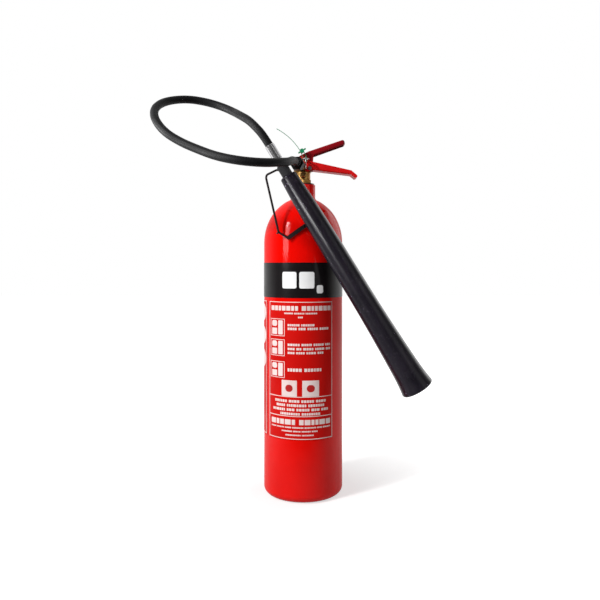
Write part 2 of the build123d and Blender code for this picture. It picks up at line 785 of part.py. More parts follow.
with BuildPart() as holder_wire:
    with BuildSketch(upright):
        ring_profile(neck_thread_r + slack, ring_outer_r, neck_top_z, ring_top_z)
    revolve(axis=Axis.Z)
    with BuildLine() as wire_line:
        FilletPolyline(*wire_corners, radius=wire_bends)
    with BuildSketch(Plane(origin=wire_line.line @ 0, z_dir=wire_line.line % 0)):
        Circle(wire_r)
    sweep(path=wire_line.line)
    # short stub that sticks out past the lower bend
    stub_direction = Vector(-0.85, -0.2, -0.5).normalized()
    with BuildSketch(Plane(origin=wire_corners[4] + Vector(1.5, 0, 0.5), z_dir=stub_direction)):
        Circle(wire_r * 0.7)
    extrude(amount=stub_length)
    # the wire lies on the ring, so nothing of it reaches into the neck thread
    with BuildSketch(Plane.XY.offset(neck_top_z)):
        Circle(neck_thread_r + slack)
    extrude(amount=3 * wire_r, mode=Mode.SUBTRACT)
holder_wire.part.label = "holder_wire"
export_step(holder_wire.part, "parts/holder_wire.step")

# the bar's end lies behind the horn, which rests on it at this distance from its top
rest_point = horn_top + horn_direction * rest_at
bar_points = [
    wire_corners[-1] + Vector(2.0, -3.5, 1.0),
    rest_point + Vector(-23.0, 14.0, 0.0),
    rest_point + Vector(-9.5, 21.6, 6.6),
]
with BuildPart() as horn_rest:
    for start, end in zip(bar_points, bar_points[1:]):
        run = end - start
        flat = Plane(origin=(start + end) * 0.5, x_dir=run, z_dir=(run.Y, -run.X, 0))
        with BuildSketch(flat):
            SlotCenterToCenter(run.length, bar_height)
        extrude(amount=bar_thickness / 2, both=True)
horn_rest.part.label = "horn_rest"
export_step(horn_rest.part, "parts/horn_rest.step")

# ------------------------------------------------------- swivelling hose end
nut_start = outlet_reach - nut_overlap
nut_end = nut_start + nut_length
flange_start = outlet_reach + slack
flange_end = flange_start + tail_flange_thickness
nut_pocket_r = outlet_r + slack
nut_corner_r = nut_flats / 2 / cos(pi / 6)
nut_edge = 1.6

with BuildPart() as swivel_nut:
    with BuildSketch(Plane(origin=outlet_origin + outlet_direction * nut_start, x_dir=(0, 0, 1),
                           z_dir=outlet_direction)):
        RegularPolygon(nut_flats / 2, 6, major_radius=False, rotation=30)
    extrude(amount=nut_length)
    with BuildSketch(outlet_plane):
        with BuildLine():
            Polyline(
                (0, nut_start),
                (nut_corner_r - nut_edge, nut_start),
                (nut_corner_r, nut_start + nut_edge * 0.6),
                (nut_corner_r, nut_end - nut_edge * 0.6),
                (nut_corner_r - nut_edge, nut_end),
                (0, nut_end),
                (0, nut_start),
            )
        make_face()
    revolve(axis=outlet_axis, mode=Mode.INTERSECT)
    with BuildSketch(outlet_plane):
        ring_profile(0, outlet_r + fit_gap, nut_start, outlet_reach)
        ring_profile(0, nut_pocket_r, outlet_reach, nut_end - nut_wall)
        ring_profile(0, tail_neck_r + fit_gap, nut_end - nut_wall, nut_end)
    revolve(axis=outlet_axis, mode=Mode.SUBTRACT)
swivel_nut.part.label = "swivel_nut"
export_step(swivel_nut.part, "parts/swivel_nut.step")

collar_start = nut_end + slack
collar_end = collar_start + tail_collar_length
sleeve_end = collar_end + sleeve_length
with BuildPart() as hose_tail:
    with BuildSketch(outlet_plane):
        ring_profile(outlet_bore_r, outlet_r, flange_start, flange_end)
        ring_profile(outlet_bore_r, tail_neck_r, flange_end, collar_start)
        ring_profile(outlet_bore_r, tail_collar_r, collar_start, collar_end)
        ring_profile(outlet_bore_r, tail_neck_r - 0.5, collar_end, sleeve_end)
    revolve(axis=outlet_axis)
hose_tail.part.label = "hose_tail"
export_step(hose_tail.part, "parts/hose_tail.step")

with BuildPart() as hose_sleeve:
    with BuildSketch(outlet_plane):
        ring_profile(tail_neck_r - 0.5, sleeve_r, collar_end, sleeve_end)
        for share in (0.3, 0.6):
            groove_at = collar_end + share * (sleeve_end - collar_end)
            with Locations((sleeve_r + sleeve_groove, groove_at)):
                Circle(2 * sleeve_groove, mode=Mode.SUBTRACT)
    revolve(axis=outlet_axis)
hose_sleeve.part.label = "hose_sleeve"
export_step(hose_sleeve.part, "parts/hose_sleeve.step")

# ---------------------------------------------------------------------- hose
hose_start = outlet_origin + outlet_direction * sleeve_end
hose_end = horn_top - horn_direction * (grip_length + ferrule_length)
hose_points = [
    hose_start,
    hose_start + outlet_direction * hose_first_run,
    Vector(-21.7, -109.0, 621.5),
    Vector(-27.7, -131.0, 616.0),
    Vector(-40.0, -151.5, 612.0),
    Vector(-60.0, -169.0, 608.0),
    Vector(-86.0, -179.5, 607.5),
    Vector(-115.0, -179.5, 611.0),
    Vector(-148.0, -167.0, 620.0),
    Vector(-179.0, -149.0, 634.0),
    Vector(-211.0, -136.0, 649.0),
    Vector(-242.0, -125.0, 669.0),
    Vector(-263.0, -109.0, 695.0),
    Vector(-271.0, -84.0, 719.0),
    Vector(-265.0, -57.0, 738.0),
    Vector(-247.0, -33.0, 751.0),
    Vector(-218.0, -16.0, 757.0),
    Vector(-185.0, -9.0, 753.0),
    Vector(-154.0, -15.0, 742.0),
    Vector(-130.0, -34.0, 727.0),
    Vector(-115.0, -64.0, 713.0),
    Vector(-99.0, -84.0, 700.0),
    Vector(-85.0, -95.0, 685.0),
    hose_end - horn_direction * hose_last_run,
    hose_end,
]
hose_radii = []
for before, corner, after in zip(hose_points, hose_points[1:], hose_points[2:]):
    turn = radians((corner - before).get_angle(after - corner))
    shorter_run = min((corner - before).length, (after - corner).length)
    hose_radii.append(0.45 * shorter_run / tan(turn / 2))
print("hose bend radii:", [round(radius) for radius in hose_radii])

with BuildPart() as hose:
    with BuildLine() as hose_line:
        FilletPolyline(*hose_points, radius=hose_radii)
    with BuildSketch(Plane(origin=hose_line.line @ 0, z_dir=hose_line.line % 0)):
        Circle(hose_r)
    sweep(path=hose_line.line)
hose_section = pi * hose_r**2
print(f"hose length {hose_line.wire().length:.1f}, volume {hose.part.volume:.0f},",
      f"section times length {hose_section * hose_line.wire().length:.0f}")
hose.part.label = "hose"
export_step(hose.part, "parts/hose.step")

# --------------------------------------------- ferrule, grip, nozzle and horn
with BuildPart() as horn_ferrule:
    with BuildSketch(horn_plane):
        with BuildLine():
            ferrule_low = -grip_length
            ferrule_high = -grip_length - ferrule_length
            Polyline(
                (outlet_bore_r, ferrule_low),
                (ferrule_r - 0.6, ferrule_low),
                (ferrule_r, ferrule_low - 0.6),
                (ferrule_r, ferrule_low - 9.0),
                (ferrule_r - 0.7, ferrule_low - 10.0),
                (ferrule_r - 0.7, ferrule_low - 12.0),
                (ferrule_r, ferrule_low - 13.0),
                (ferrule_r, ferrule_high + 1.0),
                (ferrule_r - 1.0, ferrule_high),
                (outlet_bore_r, ferrule_high),
                (outlet_bore_r, ferrule_low),
            )
        make_face()
    revolve(axis=horn_axis)
horn_ferrule.part.label = "horn_ferrule"
export_step(horn_ferrule.part, "parts/horn_ferrule.step")

with BuildPart() as horn_grip:
    with BuildSketch(horn_plane):
        with BuildLine():
            Polyline(
                (outlet_bore_r, -grip_length),
                (grip_r - 1.2, -grip_length),
                (grip_r, -grip_length + 1.2),
                (grip_r, -1.0),
                (grip_r - 0.4, 0),
                (nozzle_r, 0),
                (nozzle_r, -nozzle_in_grip),
                (outlet_bore_r, -nozzle_in_grip),
                (outlet_bore_r, -grip_length),
            )
        make_face()
    revolve(axis=horn_axis)
horn_grip.part.label = "horn_grip"
export_step(horn_grip.part, "parts/horn_grip.step")

with BuildPart() as discharge_nozzle:
    with BuildSketch(horn_plane):
        ring_profile(outlet_bore_r, nozzle_r, -nozzle_in_grip, 0)
        ring_profile(outlet_bore_r, nozzle_r, 0, nozzle_in_horn)
        ring_profile(0, nozzle_r, nozzle_in_horn - 3.0, nozzle_in_horn)
    revolve(axis=horn_axis)
    # gas leaves the closed nose through a ring of small holes
    with BuildSketch(Plane(origin=horn_top, z_dir=horn_direction)):
        with PolarLocations(nozzle_r * 0.45, 4):
            Circle(nozzle_bore_r / 2)
    extrude(amount=nozzle_in_horn, mode=Mode.SUBTRACT)
discharge_nozzle.part.label = "discharge_nozzle"
export_step(discharge_nozzle.part, "parts/discharge_nozzle.step")

horn_outline = [
    (horn_top_r, 2.0),
    (horn_mid_r, horn_length * horn_mid_share),
    (horn_low_r, horn_length * horn_low_share),
    (horn_mouth_r - 1.6, horn_length - 12.0),
    (horn_mouth_r, horn_length - 2.0),
]
with BuildPart() as horn:
    with BuildSketch(horn_plane):
        with BuildLine():
            Line((nozzle_r, 0), (horn_top_r - 2.0, 0))
            Line((horn_top_r - 2.0, 0), horn_outline[0])
            Spline(*horn_outline)
            Line(horn_outline[-1], (horn_mouth_r - 1.0, horn_length))
            Line((horn_mouth_r - 1.0, horn_length), (horn_mouth_r - horn_wall, horn_length))
            Spline(*[(radius - horn_wall, at) for radius, at in [(horn_mouth_r, horn_length)]
                     + horn_outline[-2:0:-1] + [(horn_top_r, horn_top_wall + 4.0)]])
            Line((horn_top_r - horn_wall, horn_top_wall + 4.0), (horn_top_r - horn_wall - 3.0, horn_top_wall))
            Line((horn_top_r - horn_wall - 3.0, horn_top_wall), (nozzle_r, horn_top_wall))
            Line((nozzle_r, horn_top_wall), (nozzle_r, 0))
        make_face()
    revolve(axis=horn_axis)
horn.part.label = "horn"
export_step(horn.part, "parts/horn.step")
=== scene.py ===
import json
import math

import bmesh
import bpy
import numpy as np
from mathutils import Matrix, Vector

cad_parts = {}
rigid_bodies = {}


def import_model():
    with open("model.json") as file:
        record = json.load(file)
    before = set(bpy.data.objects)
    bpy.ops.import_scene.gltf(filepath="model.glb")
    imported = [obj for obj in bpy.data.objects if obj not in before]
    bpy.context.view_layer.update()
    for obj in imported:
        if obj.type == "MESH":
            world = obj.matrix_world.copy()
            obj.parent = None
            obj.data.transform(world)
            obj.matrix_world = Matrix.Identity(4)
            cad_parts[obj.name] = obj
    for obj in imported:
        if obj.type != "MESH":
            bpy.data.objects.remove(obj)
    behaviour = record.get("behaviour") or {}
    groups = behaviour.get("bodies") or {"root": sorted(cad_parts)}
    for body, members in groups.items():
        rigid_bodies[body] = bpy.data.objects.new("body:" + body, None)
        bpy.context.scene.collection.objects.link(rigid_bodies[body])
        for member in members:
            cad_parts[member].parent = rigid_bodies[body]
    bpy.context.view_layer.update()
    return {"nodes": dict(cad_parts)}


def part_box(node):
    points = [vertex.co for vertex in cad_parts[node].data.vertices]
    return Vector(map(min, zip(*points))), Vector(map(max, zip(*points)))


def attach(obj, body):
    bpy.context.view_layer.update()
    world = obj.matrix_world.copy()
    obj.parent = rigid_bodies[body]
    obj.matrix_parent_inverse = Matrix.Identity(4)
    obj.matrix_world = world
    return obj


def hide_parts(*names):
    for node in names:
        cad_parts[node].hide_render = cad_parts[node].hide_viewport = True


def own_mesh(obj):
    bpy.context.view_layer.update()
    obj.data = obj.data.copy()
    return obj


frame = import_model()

nodes = frame["nodes"]
print("frame loaded:", len(nodes), "nodes")

# camera: level, square on to the front, a little below the shoulder of the cylinder
cameraPlan = {
    "place": (0.0, -1.177, 0.432),
    "lens": 36.18,
    "sensor": 36.0,
    "shift": (-0.0053, -0.0533),
    "clip": (0.02, 60.0),
}


def placeCamera(plan):
    # a quarter turn about X stands the camera level and looking along +Y
    data = bpy.data.cameras.new("studioCamera")
    data.lens = plan["lens"]
    data.sensor_width = plan["sensor"]
    data.shift_x, data.shift_y = plan["shift"]
    data.clip_start, data.clip_end = plan["clip"]
    camera = bpy.data.objects.new("studioCamera", data)
    camera.location = plan["place"]
    camera.rotation_euler = (math.pi / 2, 0.0, 0.0)
    bpy.context.scene.collection.objects.link(camera)
    bpy.context.scene.camera = camera


placeCamera(cameraPlan)
print("camera placed")

# hose: one smooth run out of the nut, round the loop and down into the ferrule
hosePlan = {
    "radius": 0.0075,
    "length": 0.721,
    "order": 3,     # how many points pull on each place of the curve
    "steps": 10,    # rings of faces from one point to the next
    "around": 6,    # how finely the section is cut
    "points": [
        (-0.01482, -0.06974, 0.62700), (-0.01888, -0.08882, 0.62700), (-0.0217, -0.109, 0.6215),
        (-0.0277, -0.131, 0.616), (-0.040, -0.1515, 0.612), (-0.060, -0.169, 0.608),
        (-0.086, -0.1795, 0.6075), (-0.115, -0.1795, 0.611), (-0.148, -0.167, 0.620),
        (-0.179, -0.149, 0.634), (-0.211, -0.136, 0.649), (-0.242, -0.125, 0.669),
        (-0.263, -0.109, 0.695), (-0.271, -0.084, 0.719), (-0.265, -0.057, 0.738),
        (-0.247, -0.033, 0.751), (-0.218, -0.016, 0.757), (-0.185, -0.009, 0.753),
        (-0.154, -0.015, 0.742), (-0.130, -0.034, 0.727), (-0.115, -0.064, 0.713),
        (-0.099, -0.084, 0.700), (-0.085, -0.095, 0.685), (-0.07147, -0.09899, 0.66937),
        (-0.06050, -0.09824, 0.65148),
    ],
}


def drawHose(plan):
    # a round section carried along a smooth curve that the listed points pull into shape
    data = bpy.data.curves.new("hoseRun", "CURVE")
    data.dimensions = "3D"
    line = data.splines.new("NURBS")
    count = len(plan["points"])
    line.points.add(count - 1)
    line.points.foreach_set("co", np.c_[np.array(plan["points"]), np.ones(count)].ravel())
    line.points.foreach_set("radius", np.full(count, plan["radius"]))
    line.order_u = plan["order"]
    line.use_endpoint_u = True
    line.resolution_u = plan["steps"]
    data.bevel_depth = 1.0  # each point carries the radius
    data.bevel_resolution = plan["around"]
    data.use_fill_caps = True
    hose = bpy.data.objects.new("hoseRun", data)
    bpy.context.scene.collection.objects.link(hose)
    return hose


hoseRun = drawHose(hosePlan)
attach(hoseRun, "hose_set")
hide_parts("hose")
print("hose drawn")


# shared shader parts
def addNode(tree, kind, values=None, **settings):
    # settings are the node's own choices, values are what its sockets start at
    made = tree.nodes.new(kind)
    for key, value in settings.items():
        setattr(made, key, value)
    for key, value in (values or {}).items():
        made.inputs[key].default_value = value
    return made


def remap(tree, source, low, high, outLow=0.0, outHigh=1.0):
    # straight line from low..high to outLow..outHigh, held at both ends
    made = addNode(tree, "ShaderNodeMapRange",
                   {"From Min": low, "From Max": high, "To Min": outLow, "To Max": outHigh})
    tree.links.new(source, made.inputs["Value"])
    return made.outputs["Result"]


def combine(tree, operation, a, b):
    # one sum or product of two numbers or sockets
    made = addNode(tree, "ShaderNodeMath", operation=operation)
    for socket, value in zip(made.inputs, (a, b)):
        if isinstance(value, (int, float)):
            socket.default_value = value
        else:
            tree.links.new(value, socket)
    return made.outputs[0]


def openGroup(name, inputs, outputs):
    # a group reads the place on the piece and the named numbers, and gives named masks
    tree = bpy.data.node_groups.new(name, "ShaderNodeTree")
    tree.interface.new_socket(name="Place", in_out="INPUT", socket_type="NodeSocketVector")
    for label, value in inputs.items():
        socket = tree.interface.new_socket(name=label, in_out="INPUT", socket_type="NodeSocketFloat")
        socket.default_value = value
    for label in outputs:
        tree.interface.new_socket(name=label, in_out="OUTPUT", socket_type="NodeSocketFloat")
    return tree, tree.nodes.new("NodeGroupInput"), tree.nodes.new("NodeGroupOutput")


def openSkin(name, plan):
    # every skin takes a scale and gives a height for the bump, a slow drift and specks
    return openGroup(name, {"Scale": plan["scale"]}, ["Height", "Drift", "Speck"])


def noiseOn(tree, entry, plan):
    # noise over the piece's own place; its scale is the group's Scale times factor
    scale = combine(tree, "MULTIPLY", entry.outputs["Scale"], plan["factor"])
    noise = addNode(tree, "ShaderNodeTexNoise", {"Detail": plan["detail"], "Roughness": plan["rough"]})
    tree.links.new(entry.outputs["Place"], noise.inputs["Vector"])
    tree.links.new(scale, noise.inputs["Scale"])
    return noise.outputs[0]


paintSkinPlan = {
    "scale": 420.0,
    "peel": {"factor": 1.0, "detail": 1.5, "rough": 0.4},
    "drift": {"factor": 0.03, "detail": 3.0, "rough": 0.55},
    "cells": 150.0,
    "speckReach": 0.07,    # of a cell, from its middle to where the speck ends
}


def buildPaintSkin(plan):
    # sprayed enamel: a fine peel, slow drift of shade, and rare specks under the coat
    tree, entry, result = openSkin("paintSkin", plan)
    cells = addNode(tree, "ShaderNodeTexVoronoi", {"Scale": plan["cells"], "Randomness": 1.0})
    tree.links.new(entry.outputs["Place"], cells.inputs["Vector"])
    speck = remap(tree, cells.outputs["Distance"], 0.0, plan["speckReach"], 1.0, 0.0)
    tree.links.new(noiseOn(tree, entry, plan["peel"]), result.inputs["Height"])
    tree.links.new(noiseOn(tree, entry, plan["drift"]), result.inputs["Drift"])
    tree.links.new(speck, result.inputs["Speck"])
    return tree


mouldGrainPlan = {
    "scale": 700.0,
    "fine": {"factor": 1.0, "detail": 3.0, "rough": 0.6},
    "mottle": {"factor": 0.04, "detail": 4.0, "rough": 0.6},
    "dots": {"factor": 0.45, "detail": 0.0, "rough": 0.5},
    "dotRange": (0.70, 0.80),    # of the noise, where a dot starts and where it is full
}


def buildMouldGrain(plan):
    # spark-eroded mould texture: cells broken up by noise, with a slow mottle
    tree, entry, result = openSkin("mouldGrain", plan)
    cells = addNode(tree, "ShaderNodeTexVoronoi", {"Randomness": 1.0}, feature="SMOOTH_F1")
    tree.links.new(entry.outputs["Place"], cells.inputs["Vector"])
    tree.links.new(entry.outputs["Scale"], cells.inputs["Scale"])
    grain = combine(tree, "ADD", noiseOn(tree, entry, plan["fine"]), cells.outputs["Distance"])
    dots = remap(tree, noiseOn(tree, entry, plan["dots"]), *plan["dotRange"])
    tree.links.new(grain, result.inputs["Height"])
    tree.links.new(noiseOn(tree, entry, plan["mottle"]), result.inputs["Drift"])
    tree.links.new(dots, result.inputs["Speck"])
    return tree


workedMetalPlan = {
    "scale": 60.0,
    "lines": {"factor": 1.0, "detail": 2.0, "rough": 0.7},
    "cloud": {"factor": 0.5, "detail": 5.0, "rough": 0.6},
    "pits": {"factor": 6.0, "detail": 1.0, "rough": 0.5},
    "pitRange": (0.68, 0.78),
}


def buildWorkedMetal(plan):
    # tool lines along the stretched place, pits, and a slow cloud of tarnish
    tree, entry, result = openSkin("workedMetal", plan)
    pits = remap(tree, noiseOn(tree, entry, plan["pits"]), *plan["pitRange"])
    tree.links.new(noiseOn(tree, entry, plan["lines"]), result.inputs["Height"])
    tree.links.new(noiseOn(tree, entry, plan["cloud"]), result.inputs["Drift"])
    tree.links.new(pits, result.inputs["Speck"])
    return tree


handMarksPlan = {
    "scale": 30.0,
    "cover": 0.4,
    "smear": {"factor": 1.0, "detail": 6.0, "rough": 0.62},
    "smearLevel": 0.62,    # of the noise, above which a smear shows when the cover is 0
    "smearSoft": 0.3,      # rise of the noise from there to a full smear
    "hair": {"Scale": 90.0, "Detail": 3.0, "Roughness": 0.7},
    "hairTurn": {"Rotation": (0.4, 0.9, 0.3), "Scale": (1.0, 14.0, 3.0)},
    "hairRange": (0.66, 0.72),
}


def buildHandMarks(plan):
    # smears where hands and brackets rub, and hairline scratches from a noise that is drawn out
    tree, entry, result = openGroup(
        "handMarks", {"Scale": plan["scale"], "Cover": plan["cover"]}, ["Smear", "Scratch"])
    turned = addNode(tree, "ShaderNodeMapping", plan["hairTurn"])
    tree.links.new(entry.outputs["Place"], turned.inputs["Vector"])
    hair = addNode(tree, "ShaderNodeTexNoise", plan["hair"])
    tree.links.new(turned.outputs[0], hair.inputs["Vector"])
    bare = combine(tree, "SUBTRACT", 1.0, entry.outputs["Cover"])
    level = combine(tree, "MULTIPLY", bare, plan["smearLevel"])
    lifted = combine(tree, "SUBTRACT", noiseOn(tree, entry, plan["smear"]), level)
    tree.links.new(remap(tree, lifted, 0.0, plan["smearSoft"]), result.inputs["Smear"])
    tree.links.new(remap(tree, hair.outputs[0], *plan["hairRange"]), result.inputs["Scratch"])
    return tree


dustFallPlan = {
    "amount": 0.3,
    "cloud": {"Scale": 55.0, "Detail": 5.0, "Roughness": 0.65},
    "cloudRange": (0.35, 0.70),
    "upRange": (0.15, 1.0),      # how far up a surface faces, from no dust to all of it
}


def buildDustFall(plan):
    # dust lies where the surface faces up, broken by a cloudy noise
    tree, entry, result = openGroup("dustFall", {"Amount": plan["amount"]}, ["Mask"])
    facing = addNode(tree, "ShaderNodeNewGeometry")
    apart = addNode(tree, "ShaderNodeSeparateXYZ")
    tree.links.new(facing.outputs["Normal"], apart.inputs[0])
    cloud = addNode(tree, "ShaderNodeTexNoise", plan["cloud"])
    tree.links.new(entry.outputs["Place"], cloud.inputs["Vector"])
    up = remap(tree, apart.outputs["Z"], *plan["upRange"])
    broken = combine(tree, "MULTIPLY", up, remap(tree, cloud.outputs[0], *plan["cloudRange"]))
    tree.links.new(combine(tree, "MULTIPLY", broken, entry.outputs["Amount"]), result.inputs["Mask"])
    return tree


skins = {
    "paint": buildPaintSkin(paintSkinPlan),
    "mould": buildMouldGrain(mouldGrainPlan),
    "metal": buildWorkedMetal(workedMetalPlan),
}
handMarks = buildHandMarks(handMarksPlan)
dustFall = buildDustFall(dustFallPlan)
print("shader groups built")

# what every finish starts from; each finish below changes what is its own
plainFinish = {
    "color": (0.5, 0.5, 0.5), "drift": (0.45, 0.45, 0.45),    # the two shades that it drifts between
    "speck": (0.3, 0.3, 0.3), "speckAmount": 0.0,
    "metallic": 0.0, "rough": 0.4, "roughSpread": 0.12, "specular": 0.5, "coat": 0.0, "coatRough": 0.05,
    "skin": "paint", "skinScale": 420.0, "depth": 0.00002,
    "stretch": (1.0, 1.0, 1.0), "turn": (0.0, 0.0, 0.0),      # of the skin's pattern
    "marks": 0.3, "marksScale": 30.0, "dust": 0.1, "dustColor": (0.45, 0.42, 0.38),
    "paintedEdgeTone": (0.1, 0.1, 0.1), "paintedEdgeAmount": 0.0,               # painted edge tone where the surface turns from the view: painted shade on metals, painted sheen on the seal
}

# what all finishes share
finishRules = {
    "driftRange": (0.35, 0.65),
    # the next two shape the painted edge tone
    "paintedEdgeBlend": 0.5,
    "paintedEdgeRange": (0.25, 0.85),
    "scratchShare": 0.6,     # of the roughness that a smear adds
    "dustRough": 0.4,        # roughness that full dust adds
}

# the Mix node has a set of sockets for each kind of value; these are the colour ones
colorMix = {"amount": 0, "a": 6, "b": 7, "result": 2}


def mixColor(tree, amount, a, b):
    # colour a where amount is 0 and colour b where it is 1
    made = addNode(tree, "ShaderNodeMix", data_type="RGBA")
    tree.links.new(amount, made.inputs[colorMix["amount"]])
    for socket, value in ((made.inputs[colorMix["a"]], a), (made.inputs[colorMix["b"]], b)):
        if isinstance(value, tuple):
            socket.default_value = (*value, 1.0)
        else:
            tree.links.new(value, socket)
    return made.outputs[colorMix["result"]]


def addGroup(tree, group, place, values):
    # a shared group put into one material, with that material's values
    made = addNode(tree, "ShaderNodeGroup", values, node_tree=group)
    tree.links.new(place, made.inputs["Place"])
    return made.outputs


def finishColor(tree, plan, skin, dust):
    # the colour drifts between two shades, then specks, a painted edge tone where the surface turns from the
    # view (painted shade on metals, painted sheen on the seal) and dust lie over it in that order
    rules = finishRules
    color = mixColor(tree, remap(tree, skin["Drift"], *rules["driftRange"]), plan["color"], plan["drift"])
    if plan["speckAmount"]:
        spots = combine(tree, "MULTIPLY", skin["Speck"], plan["speckAmount"])
        color = mixColor(tree, spots, color, plan["speck"])
    if plan["paintedEdgeAmount"]:
        # painted edge tone from the facing weight: painted shade on the metals, painted sheen on the seal
        turned = addNode(tree, "ShaderNodeLayerWeight", {"Blend": rules["paintedEdgeBlend"]}).outputs["Facing"]
        share = remap(tree, turned, *rules["paintedEdgeRange"], 0.0, plan["paintedEdgeAmount"])
        color = mixColor(tree, share, color, plan["paintedEdgeTone"])
    return mixColor(tree, dust["Mask"], color, plan["dustColor"])


def finishRough(tree, plan, marks, dust):
    # plain roughness plus smears, plus scratches, plus dust
    smeared = combine(tree, "MULTIPLY", marks["Smear"], plan["roughSpread"])
    scratched = combine(tree, "MULTIPLY", marks["Scratch"], plan["roughSpread"] * finishRules["scratchShare"])
    worn = combine(tree, "ADD", combine(tree, "ADD", smeared, scratched), plan["rough"])
    return combine(tree, "ADD", worn, combine(tree, "MULTIPLY", dust["Mask"], finishRules["dustRough"]))


def makeFinish(name, changes):
    # a principled shader: its colour and roughness vary over the surface, its skin stands up as a fine bump
    plan = {**plainFinish, **changes}
    material = bpy.data.materials.new(name)
    material.use_nodes = True
    tree = material.node_tree
    shader = tree.nodes["Principled BSDF"]
    place = addNode(tree, "ShaderNodeTexCoord").outputs["Object"]
    mapping = addNode(tree, "ShaderNodeMapping", {"Rotation": plan["turn"], "Scale": plan["stretch"]})
    tree.links.new(place, mapping.inputs["Vector"])
    skin = addGroup(tree, skins[plan["skin"]], mapping.outputs[0], {"Scale": plan["skinScale"]})
    marks = addGroup(tree, handMarks, place, {"Scale": plan["marksScale"], "Cover": plan["marks"]})
    dust = addGroup(tree, dustFall, place, {"Amount": plan["dust"]})
    bump = addNode(tree, "ShaderNodeBump", {"Strength": 1.0, "Distance": plan["depth"]})
    tree.links.new(skin["Height"], bump.inputs["Height"])
    tree.links.new(finishColor(tree, plan, skin, dust), shader.inputs["Base Color"])
    tree.links.new(finishRough(tree, plan, marks, dust), shader.inputs["Roughness"])
    tree.links.new(bump.outputs[0], shader.inputs["Normal"])
    shader.inputs["Metallic"].default_value = plan["metallic"]
    shader.inputs["Specular IOR Level"].default_value = plan["specular"]
    shader.inputs["Coat Weight"].default_value = plan["coat"]
    shader.inputs["Coat Roughness"].default_value = plan["coatRough"]
    return material
